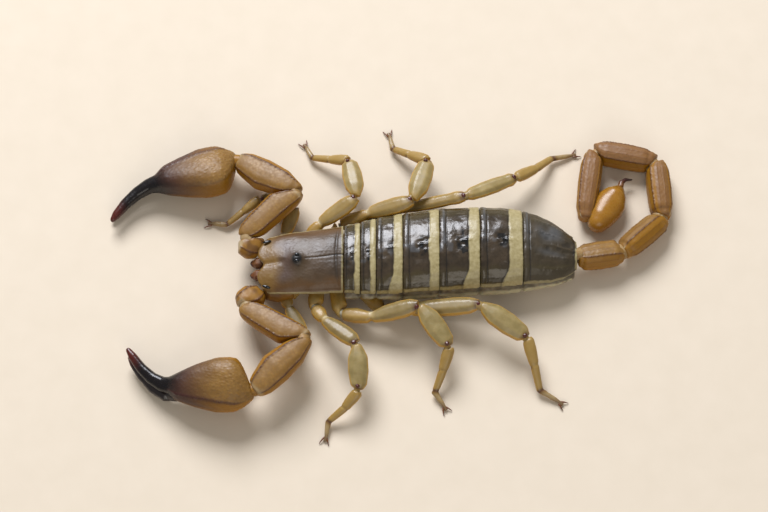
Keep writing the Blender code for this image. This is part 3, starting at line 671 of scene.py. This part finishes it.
in_straw = (straw_horn, "leg_shell")
for side in "rl":
    for number in range(1, 5):
        leg = f"leg_{side}{number}"
        thigh, shin, foot = f"{leg}_femur", f"{leg}_patella", f"{leg}_foot"
        hip = meeting(thigh, "coxae")
        knee = meeting(thigh, shin)
        ankle = meeting(shin, foot)
        ends = corners_of(foot)
        away = np.linalg.norm(ends - ankle, axis=1)
        toe = ends[away > away.max() - 0.5].mean(0)
        stout = 0.84 + 0.06 * min(number - 1, 3)
        thinner = 0.32 if leg == "leg_r4" else 0  # this leg is turned edge up
        # Painted shade: the left legs, on the side away from the main lamp, get more smoky tint and
        # less honey.
        shade = 0.4 if side == "l" else 0.15

        part = cast(thigh, 0.13, 9)
        blunt(part, hip, knee, 0.12)
        share, _, turn, _ = limb_places(part, hip, knee, UP)
        seam_at = THIGH_SEAMS[number]
        seam = bump(share, seam_at, 0.03)
        blade = fade(share, seam_at, seam_at + 0.1)
        widths = 1 - 0.18 * seam - 0.2 * fade(share, 0.88, 1.0)
        slim(part, hip, knee, widths - thinner * blade * fade(share, 1.0, 0.8))
        edge = fade(np.abs(turn), 38, 62) * fade(np.abs(turn), 140, 115)
        part.raise_by(0.03 * edge * blade)
        part.marks["smoke_and_shade"] = (shade + 0.15 * drift(part.points, 1.0, 67)) * blade * (1 - edge)
        part.marks["honey"] = 0.75 - shade + 0.4 * (1 - blade)
        # Gold on the edges: partly the keel's own colour, partly painted glow of light through the thin
        # blade.
        part.marks["gold"] = 0.8 * edge
        part.marks["pale"] = 0.8 * bump(share, seam_at + 0.01, 0.03) * fade(turn, 60, -60)
        near = np.linalg.norm(part.points - knee, axis=1)
        part.marks["spot"] = 0.6 * fade(near, 0.85 * stout, 0.5 * stout) * fade(np.abs(turn), 80, 40)
        part.fit(f"{thigh}_shell", straw_horn, "leg_shell", thigh)
        peg(f"{leg}_knee_peg", part, knee, hip, 0.27 * stout)

        part = cast(shin, 0.12, 9)
        blunt(part, knee, ankle, 0.15)
        share, _, turn, _ = limb_places(part, knee, ankle, UP)
        widths = 1.04 - 0.22 * fade(share, 0.35, 0.0) - 0.22 * fade(share, 0.88, 1.0)
        slim(part, knee, ankle, widths - thinner * fade(share, 0.05, 0.3) * fade(share, 1.0, 0.8))
        edge = fade(np.abs(turn), 38, 62) * fade(np.abs(turn), 140, 115)
        part.raise_by(0.035 * edge * fade(share, 0.05, 0.15))
        part.marks["smoke_and_shade"] = (0.3 * shade + 0.12 * drift(part.points, 1.0, 68)) * (1 - edge)
        part.marks["honey"] = 0.35 - shade / 2 + 0.4 * (fade(share, 0.2, 0.0) + fade(share, 0.8, 1.0))
        # Gold on the edges: partly the keel's own colour, partly painted glow of light through the thin
        # blade.
        part.marks["gold"] = 0.8 * edge
        near = np.linalg.norm(part.points - ankle, axis=1)
        part.marks["spot"] = 0.6 * fade(near, 0.8 * stout, 0.45 * stout) * fade(np.abs(turn), 80, 40)
        part.fit(f"{shin}_shell", straw_horn, "leg_shell", shin)
        peg(f"{leg}_ankle_peg", part, ankle, knee, 0.24 * stout)

        part = cast(foot, 0.11, 4)
        share, _, turn, _ = limb_places(part, ankle, toe, UP)
        seams = sum(bump(share, at, 0.02) for at in FOOT_SEAMS)
        part.raise_by(-0.03 * seams + 0.02 * fade(share, 0.4, 0.1) - 0.06 * fade(share, 0.05, 0.0))
        slimmer = 1 - 0.45 * fade(share, 0.86, 0.95)
        middle = fade(share, 0.8, 1.0)[:, None]
        sole = ends[away > away.max() - 1.0].mean(0) * (1 - middle) + toe * middle
        drawn = sole + (part.points - sole) * slimmer[:, None]
        part.points = np.where(share[:, None] > 0.86, drawn, part.points)
        part.marks["honey"] = 0.75 + 0 * share
        # Gold on the sides: partly the foot's own colour, partly painted glow of light through it.
        part.marks["gold"] = 0.6 * fade(np.abs(turn), 45, 75)
        part.marks["pale"] = 0.25 * fade(share, 0.72, 0.78)
        part.marks["spot"] = (
            0.85 * bump(share, FOOT_SEAMS[1], 0.03)
            + 0.7 * bump(share, FOOT_SEAMS[0], 0.02) * fade(np.abs(turn), 30, 60)
            + 0.25 * fade(share, 0.7, 0.75)
            + 0.4 * fade(share, 0.84, 0.95)
        )
        part.fit(f"{foot}_shell", straw_horn, "leg_shell", foot)

        size = CUFF_RADIUS * stout
        cuff(f"{leg}_hip_cuff", hip, hip + (hip - knee), knee, size, 0.35, pale=0.5, white=0.2)
        cuff(f"{leg}_knee_cuff", knee, hip, ankle, size, 0.5, in_straw, honey=0.5, spot=0.15)
        cuff(f"{leg}_ankle_cuff", ankle, knee, toe, 0.8 * size, 0.4, in_straw, honey=0.7)

# ---- Claws --------------------------------------------------------------------------------------
# Each foot ends in a pair of thin curved claws. They are hard brown cuticle, hinged on the tip of
# the foot, and hook down to the ground.

CLAW_LENGTH = 0.85
for side in "rl":
    for number in range(1, 5):
        ends = corners_of(f"leg_{side}{number}_foot")
        ankle = meeting(f"leg_{side}{number}_patella", f"leg_{side}{number}_foot")
        away = np.linalg.norm(ends - ankle, axis=1)
        toe = ends[away > away.max() - 0.5].mean(0)
        heel = ends[(away < away.max() - 0.8) & (away > away.max() - 1.6)].mean(0)
        way = unit((toe - heel) * (1, 1, 0))
        for hand, out in (("a", 1), ("b", -1)):
            spread = np.cross(UP, way) * out
            root = toe - way * 0.35 + spread * 0.08 + UP * 0.06
            knee = root + way * 0.5 * CLAW_LENGTH + spread * 0.25 + UP * 0.1
            tip = root + way * CLAW_LENGTH * 0.9 + spread * 0.38
            tip[2] = 0.06
            sizes = ((0, 0.1, 0.11), (0.5, 0.075, 0.085), (1, 0.025, 0.03))
            claw = spun((root, knee, tip), sizes, UP, 8, 8)
            claw.marks["red"] = 1 + 0 * claw.along
            claw.marks["tan"] = 0.45 * fade(claw.along, 1.0, 0.3)
            claw.fit(f"claw_{side}{number}{hand}", dusky_horn, "dusky_tip")

# ---- Pincers ------------------------------------------------------------------------------------
# The two grasping limbs: short amber base pieces, flat-topped arm pieces edged with dark beaded
# keels, and swollen hands whose fingers darken to black.

# Amber horn with a fine net of wrinkles: tan on the faces, gold in the side walls, partly their own
# colour and partly painted glow of light coming through, an orange painted glow on the faces turned
# down, purple-brown along the keels and black at the fingers.
amber_horn, tree, shader, place = begin("amber_horn", IOR=1.44)
shader.inputs["Subsurface Weight"].default_value = 0.1
shader.inputs["Subsurface Scale"].default_value = 0.0006
shader.inputs["Subsurface Radius"].default_value = (1.0, 0.5, 0.2)
cloud = {"Vector": place, "Scale": 0.8, "Detail": 4.0, "Roughness": 0.55}
cloud = add(tree, "ShaderNodeTexNoise", cloud)
cloud = add(tree, "ShaderNodeMapRange", {"Value": cloud, "From Min": 0.35, "From Max": 0.65})
amber = {"Factor": cloud, "A": linear("#795722"), "B": linear("#8f6b33")}
amber = add(tree, "ShaderNodeMix", amber, data_type="RGBA")
net = add(tree, "ShaderNodeTexVoronoi", {"Vector": place, "Scale": 4.4}, feature="SMOOTH_F1")
net = add(tree, "ShaderNodeMapRange", {"Value": net, "From Min": 0.2, "From Max": 0.75})
netted = {"Factor": net, "A": amber, "B": linear("#7b5927")}
netted = add(tree, "ShaderNodeMix", netted, data_type="RGBA")
amber = stained(
    tree, amber, ("net", netted), ("mauve", "#7b5331"), ("gold", "#8b5f0e"), ("rim", "#a26c13"),
    ("plum", "#452a1f"), ("dusk", "#0f090a"), ("tip", "#4f1a10"), ("keel", "#3a1614"),
    ("pale", "#cbbf9e"),
)
tree.links.new(amber, shader.inputs["Base Color"])
gloss = add(tree, "ShaderNodeMapRange", {"Value": net, "To Min": 0.42, "To Max": 0.54})
sheen = {"Value": add(tree, "ShaderNodeAttribute", attribute_name="smooth").node.outputs["Fac"]}
sheen = add(tree, "ShaderNodeMapRange", {**sheen, "To Min": 1.0, "To Max": 0.55})
gloss = add(tree, "ShaderNodeMath", {"Value": gloss}, operation="MULTIPLY")
tree.links.new(sheen, gloss.node.inputs[1])
tree.links.new(gloss, shader.inputs["Roughness"])
dent = {"Height": net, "Strength": 0.22, "Distance": 0.00002}
tree.links.new(add(tree, "ShaderNodeBump", dent, invert=True), shader.inputs["Normal"])

HAND_ROLL = math.radians(18)  # the outer side of the hand is turned down
PALP_PIECES = ("trochanter", "femur", "patella", "hand")
# The angles of each piece's front and rear keels round it, from its top.
PALP_KEELS = {"trochanter": (35, -35), "femur": (44, -41), "patella": (50, -35), "hand": (38, -58)}
in_amber = (amber_horn, "amber_shell")
for side, out in (("r", 1), ("l", -1)):
    palp = f"palp_{side}"
    stops = [meeting(f"{palp}_trochanter", "coxae")]
    for near, far in zip(PALP_PIECES, PALP_PIECES[1:]):
        stops.append(meeting(f"{palp}_{near}", f"{palp}_{far}"))
    hand = corners_of(f"{palp}_hand")
    stops.append(hand[np.argmin(hand[:, 0])])
    for index, name in enumerate(PALP_PIECES):
        node = f"{palp}_{name}"
        start, end = stops[index], stops[index + 1]
        top = UP
        if name == "hand":
            top = UP * math.cos(HAND_ROLL) + np.array((0, out, 0)) * math.sin(HAND_ROLL)
        part = cast(node, 0.105, 25, 0 if name == "hand" else 5)
        if name == "hand":
            share = (part.points - start) @ unit(end - start) / np.linalg.norm(end - start)
            palm = cast(node, 0.105, 25, 70).points - part.points
            part.points = part.points + palm * fade(share, 0.6, 0.45)[:, None]
        else:
            blunt(part, start, end, 0.15)
        share, angle, turn, local = limb_places(part, start, end, top)
        low = fade(part.normals()[:, 2], 0.25, -0.15)
        body = fade(share, 0.0, 0.08) * fade(share, 1.0, 0.94)
        beads = 0.45 + 0.55 * grains(part.points, 0.24, 70 + index)
        grain = grains(local * (0.6, 1, 1), 0.26, 75 + index)
        front, rear = PALP_KEELS[name]
        front -= 9 * (name == "hand" and side == "r")
        facing = angle * np.sign(end[0] - start[0])
        if name == "hand":
            facing = -facing * out
        keels = bump(turn_from(facing, front), 0, 5)
        keels += bump(turn_from(facing, rear), 0, 5) * (0.2 if name == "hand" else 1)
        tan = fade(facing, front + 4, front - 2) * fade(facing, rear - 4, rear + 2)
        if name == "hand":
            keels *= fade(share, 0.62, 0.55)
            knuckle = fade(share, 0.45, 0.1)
            part.raise_by(
                fade(share, 0.6, 0.5) * (0.08 * keels * beads * body + 0.012 * grain)
                + 0.02 * grain * knuckle
                + 0.02 * drift(local * (0.3, 1, 1), 0.7, 79)
            )
            reach = share + 0.12 * (np.clip(facing, 0, 60) / 60) ** 2
            part.marks["plum"] = fade(reach, 0.18, 0.54) * (1 - 0.4 * low)
            # Painted shade: the wall beyond the right hand's front keel is darkened with plum.
            part.marks["plum"] += 0.5 * fade(facing, front, front + 6) * (side == "r")
            part.marks["dusk"] = fade(share, 0.45, 0.61)
            part.marks["smooth"] = part.marks["dusk"]
            part.marks["tip"] = 0.9 * fade(share, 0.82, 0.95)
        else:
            part.raise_by(0.1 * keels * beads * body + 0.005 * grain)
            part.marks["pale"] = 0.25 * bump(share, 0.97, 0.03) * (name != "trochanter")
        # The gold on the side walls is partly their own colour and partly painted glow; the orange on
        # the faces turned down is painted glow.
        part.marks["gold"] = 1 - tan
        part.marks["rim"] = 0.7 * low
        part.marks["keel"] = 0.95 * keels * (0.5 + 0.5 * beads) * body
        part.marks["net"] = tan
        if name == "trochanter":
            # Painted glow in part: gold on the side walls and orange on the faces turned down.
            part.marks["gold"] = 0.35 + 0.4 * (1 - tan)
            part.marks["rim"] = 0.15 + 0.4 * low
            part.marks["plum"] = 0.5 * fade(drift(part.points, 0.6, 78), -0.1, 0.6)
            part.marks["pale"] = 0.5 * fade(share, 0.85, 0.98) * fade(turn, 40, -40)
        part.fit(f"{node}_shell", amber_horn, "amber_shell", node)
    finger = cast(f"{palp}_finger", 0.09, 8)
    away = np.linalg.norm(finger.points - stops[-1], axis=1)
    finger.raise_by(0.02 * drift(finger.points, 0.4, 81))
    finger.marks["red"] = fade(away, 2.2, 0.7)
    finger.fit(f"{palp}_finger_shell", dusky_horn, "dusky_tip", f"{palp}_finger")

    edge = out * (out * corners_of("carapace")[:, 1]).max()
    inner = np.array((snout + 3.4, edge - 0.5 * out, 1.9))
    knee = np.array((snout + 1.4, stops[0][1] + 0.1 * out, 1.9))
    bend = (inner, knee, stops[0] + unit(stops[1] - stops[0]) * 0.35)
    sizes = ((0, 0.5, 0.6), (0.4, 1.0, 0.85), (0.8, 1.0, 0.8), (1, 0.6, 0.5))
    root = spun(bend, sizes, UP, 14, 14)
    root.raise_by(0.05 * drift(root.points, 0.5, 82))
    root.marks["gold"] = 0.8 + 0 * root.along
    root.marks["plum"] = 0.4 * fade(drift(root.points, 0.7, 83), -0.3, 0.6)
    root.marks["keel"] = 0.5 * bump(root.along, 0.9, 0.05)
    root.fit(f"{palp}_base", amber_horn, "amber_shell")
    grip = finger.points[away > away.max() - 0.6].mean(0)
    heel = grip + unit(stops[3] - grip) * 1.5 + np.array((0, -0.3 * out, 0.35))
    bend = (heel, (heel + grip) / 2, grip + unit(stops[4] - grip) * 0.4)
    joint = spun(bend, ((0, 0.75, 0.75), (0.6, 0.68, 0.68), (1, 0.42, 0.42)), UP, 12, 10)
    joint.marks["red"] = 0.5 * fade(joint.along, 0.6, 0.1)
    joint.fit(f"{palp}_finger_root", dusky_horn, "dusky_tip")
    cuff(f"{palp}_shoulder_cuff", stops[1], stops[0], stops[2], 0.72, 0.7, in_amber, gold=0.5, pale=0.3)
    cuff(f"{palp}_elbow_cuff", stops[2], stops[1], stops[3], 0.72, 0.8, in_amber, gold=0.7, pale=0.15)
    cuff(f"{palp}_wrist_cuff", stops[3], stops[2], stops[4], 0.66, 0.6, in_amber, gold=0.9)

# ---- Jaws ---------------------------------------------------------------------------------------
# The small pair of jaws under the front of the head shield: blocks of amber horn set in the soft
# skin of the mouth, each with two short dark fingers that meet like tongs.

for node, out in (("chelicera_left", -1), ("chelicera_right", 1)):
    jaw = cast(node, 0.07, 5)
    front = fade(jaw.points[:, 0], snout - 0.1, snout - 0.8)
    jaw.points[:, 0] += 0.3 * front
    jaw.marks["gold"] = 0.6 + 0 * front
    # Dark red-brown over the gold: partly the jaws' own colour, partly painted shade under the front of
    # the head shield.
    jaw.marks["tip"] = 0.75 + 0.2 * drift(jaw.points, 0.4, 84)
    jaw.fit(f"{node}_jaw", amber_horn, "amber_shell", node)
    low, high = (np.array(corner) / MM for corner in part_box(node))
    root = np.array((low[0] + 0.6, (low[1] + high[1]) / 2, (low[2] + high[2]) / 2))
    for name, shift in (("fixed", -0.16), ("moving", 0.18)):
        start = root + (0, shift * out, 0)
        tip = start + (-0.35, -1.1 * shift * out, -0.15)
        sizes = ((0, 0.15, 0.14), (0.6, 0.1, 0.09), (1, 0.03, 0.03))
        tooth = spun((start, start + (-0.2, 0.15 * shift * out, 0), tip), sizes, UP, 8, 8)
        tooth.marks["red"] = fade(tooth.along, 0.6, 0.1)
        tooth.fit(f"{node}_{name}_finger", dusky_horn, "amber_shell")

# ---- Tail ---------------------------------------------------------------------------------------
# Five barrel rings of the same amber horn, keeled lengthwise, curled round on their side. Soft
# skin joins them, and small pale knobs hinge their corners.

TAIL_ROLLS = (25, 55, 85, 90, 90)  # how far each ring's back is turned in towards the curl
TAN_FACES = ((-5, 50), (5, 42), (94, 32), (90, 44), (96, 44))
tail = [f"tail_{n}" for n in range(1, 6)]
stops = [meeting("tergite_7", "tail_1")]
stops += [meeting(near, far) for near, far in zip(tail, tail[1:])]
stops.append(meeting("tail_5", "telson_bulb"))
for index, node in enumerate(tail):
    start, end = stops[index], stops[index + 1]
    roll = math.radians(TAIL_ROLLS[index])
    inward = np.cross(UP, unit(end - start))
    ringed = cast(node, 0.105, 18, 4)
    blunt(ringed, start, end, 0.1)
    top = UP * math.cos(roll) + inward * math.sin(roll)
    share, angle, turn, local = limb_places(ringed, start, end, top)
    slim(ringed, start, end, 1.03 - 0.16 * fade(share, 0.22, 0.0) - 0.12 * fade(share, 0.8, 1.0))
    body = fade(share, 0.03, 0.12) * fade(share, 0.98, 0.9)
    keels = sum(bump(turn_from(angle, at), 0, 4.5) for at in (-135, -45, 45, 135))
    lines = sum(bump(turn_from(angle, at), 0, 3) for at in (-105, -75, -15, 15, 75, 105))
    beads = 0.45 + 0.55 * grains(ringed.points, 0.22, 80 + index)
    middle, half = TAN_FACES[index]
    tan = fade(np.abs(turn_from(angle, middle)), half + 3, half - 3)
    ringed.raise_by(
        0.09 * keels * beads * body
        + 0.025 * lines * beads * body
        + 0.012 * grains(local * (0.5, 1, 1), 0.2, 85 + index)
        + 0.04 * bump(share, 0.04, 0.03)
        + 0.04 * bump(share, 0.96, 0.03)
        - 0.04 * bump(share, 0.1, 0.03)
    )
    low = fade(ringed.normals()[:, 2], 0.3, -0.1)
    corner = bump(share, 0.02, 0.025) + bump(share, 0.98, 0.025)
    # The gold on the side walls is partly their own colour and partly painted glow; the orange on the
    # faces turned down is painted glow.
    ringed.marks["gold"] = 1 - tan
    ringed.marks["rim"] = 0.6 * low
    ringed.marks["net"] = 0.9 * tan
    ringed.marks["mauve"] = 0.65 * tan * fade(index + 0.5 * drift(ringed.points, 1.2, 88), 0.5, 2.5)
    ringed.marks["keel"] = (0.85 * keels * (0.5 + 0.5 * beads) + 0.3 * lines * beads) * body
    ringed.marks["pale"] = 0.6 * corner * fade(keels, 0.2, 0.7)
    ringed.fit(f"{node}_shell", amber_horn, "amber_shell", node)
    before = stops[index - 1] if index else start - (end - start)
    girth = 0.8 if index else 0.6
    cuff(f"{node}_cuff", start, before, end, girth, 0.4, in_amber, gold=0.6, pale=0.2)

# ---- Sting --------------------------------------------------------------------------------------
# The last piece of the tail: a smooth golden bulb of thin horn that holds the venom. Soft skin
# joins it to the fifth ring, and a hard curved needle grows out of its end.

neck = meeting("telson_bulb", "telson_sting")
egg = corners_of("telson_bulb")
away = np.linalg.norm(egg - neck, axis=1)
heel = egg[away > away.max() - 0.7].mean(0)
axis = unit(neck - heel)
girth = np.ptp(egg @ unit(np.cross(axis, UP))) / 2
height = np.ptp(egg[:, 2]) / 2
middle = (heel + neck) / 2
middle[2] = height
sizes = ((0, 0.3), (0.04, 0.58), (0.12, 0.82), (0.3, 1.1), (0.5, 1.3), (0.66, 1.28), (0.84, 0.9))
sizes = [(at, wide * girth, min(wide, 0.97) * height) for at, wide in (*sizes, (1, 0.28))]
bulb = spun((heel + axis * 0.05, middle, neck + axis * 0.1), sizes, UP, 28, 40)
low = fade(bulb.normals()[:, 2], 0.35, -0.2)
bulb.raise_by(0.012 * drift(bulb.points, 0.5, 90))
bulb.marks["gold"] = 0.4 + 0.15 * drift(bulb.points, 0.9, 91)
# Painted glow: orange on the faces turned down.
bulb.marks["rim"] = 0.4 + 0.45 * low
bulb.marks["smooth"] = 0.9 + 0 * low
bulb.marks["plum"] = 0.5 * fade(bulb.along, 0.85, 1.0)
bulb.fit("telson_bulb_shell", amber_horn, "amber_shell", "telson_bulb")
bulb_middle = bulb.points.mean(0)
cuff("telson_cuff", stops[-1], stops[-2], bulb_middle, 0.55, 0.5, in_amber, gold=0.6, pale=0.3)
sting = cast("telson_sting", 0.05, 4)
away = np.linalg.norm(sting.points - neck, axis=1)
sting.marks["tan"] = 0.9 * fade(away, 0.9, 0.1)
sting.marks["red"] = 0.4 * fade(away, 1.6, 0.6)
sting.fit("telson_sting_point", dusky_horn, "dusky_tip", "telson_sting")

# ---- Floor, lamps and camera --------------------------------------------------------------------
# A plain pale board to lie on, a large soft lamp behind the animal and a weak one in front, and
# a camera that looks down on its back, a little from its left.

ground = bpy.data.meshes.new("floor")
ground.from_pydata([(-2, -2, 0), (2, -2, 0), (2, 2, 0), (-2, 2, 0)], [], [(0, 1, 2, 3)])
floor = bpy.data.objects.new("floor", ground)
bpy.context.scene.collection.objects.link(floor)
chalk, tree, shader, place = begin("chalk_board", Roughness=0.85, IOR=1.4)
tone = add(tree, "ShaderNodeTexNoise", {"Vector": place, "Scale": 0.4, "Detail": 3.0})
tone = {"Factor": tone, "A": linear("#d3c6b2"), "B": linear("#dacdba")}
tree.links.new(add(tree, "ShaderNodeMix", tone, data_type="RGBA"), shader.inputs["Base Color"])
ground.materials.append(chalk)

LAMPS = (  # name, place in metres, size, power, colour
    ("window", (-0.09, 0.29, 0.30), 0.25, 2.7, "#f6f8ff"),
    ("fill", (0.05, -0.35, 0.25), 0.30, 0.5, "#fff6ea"),
)
low, high = cad_box
centre = (low + high) / 2
for name, spot, size, power, colour in LAMPS:
    lamp = bpy.data.lights.new(name, "AREA")
    lamp.shape = "DISK"
    lamp.size = size
    lamp.energy = power
    lamp.color = linear(colour)[:3]
    stand = bpy.data.objects.new(name, lamp)
    stand.location = spot
    stand.rotation_euler = (centre - Vector(spot)).to_track_quat("-Z", "Y").to_euler()
    bpy.context.scene.collection.objects.link(stand)
world = bpy.data.worlds.new("room")
world.use_nodes = True
world.node_tree.nodes["Background"].inputs["Color"].default_value = linear("#eef0f2")
world.node_tree.nodes["Background"].inputs["Strength"].default_value = 0.36
bpy.context.scene.world = world
bpy.context.scene.view_settings.view_transform = "Standard"

ELEVATION = math.radians(68)
DISTANCE = 0.25
aim = centre + Vector((-0.00066, 0.00164, 0.00052))
lens = bpy.data.cameras.new("camera")
lens.lens = 126
lens.sensor_width = 36
lens.clip_start = 0.01
eye = bpy.data.objects.new("camera", lens)
back = Vector((0, -math.cos(ELEVATION), math.sin(ELEVATION)))
eye.location = aim + back * DISTANCE
eye.rotation_euler = (-back).to_track_quat("-Z", "Y").to_euler()
bpy.context.scene.collection.objects.link(eye)
bpy.context.scene.camera = eye
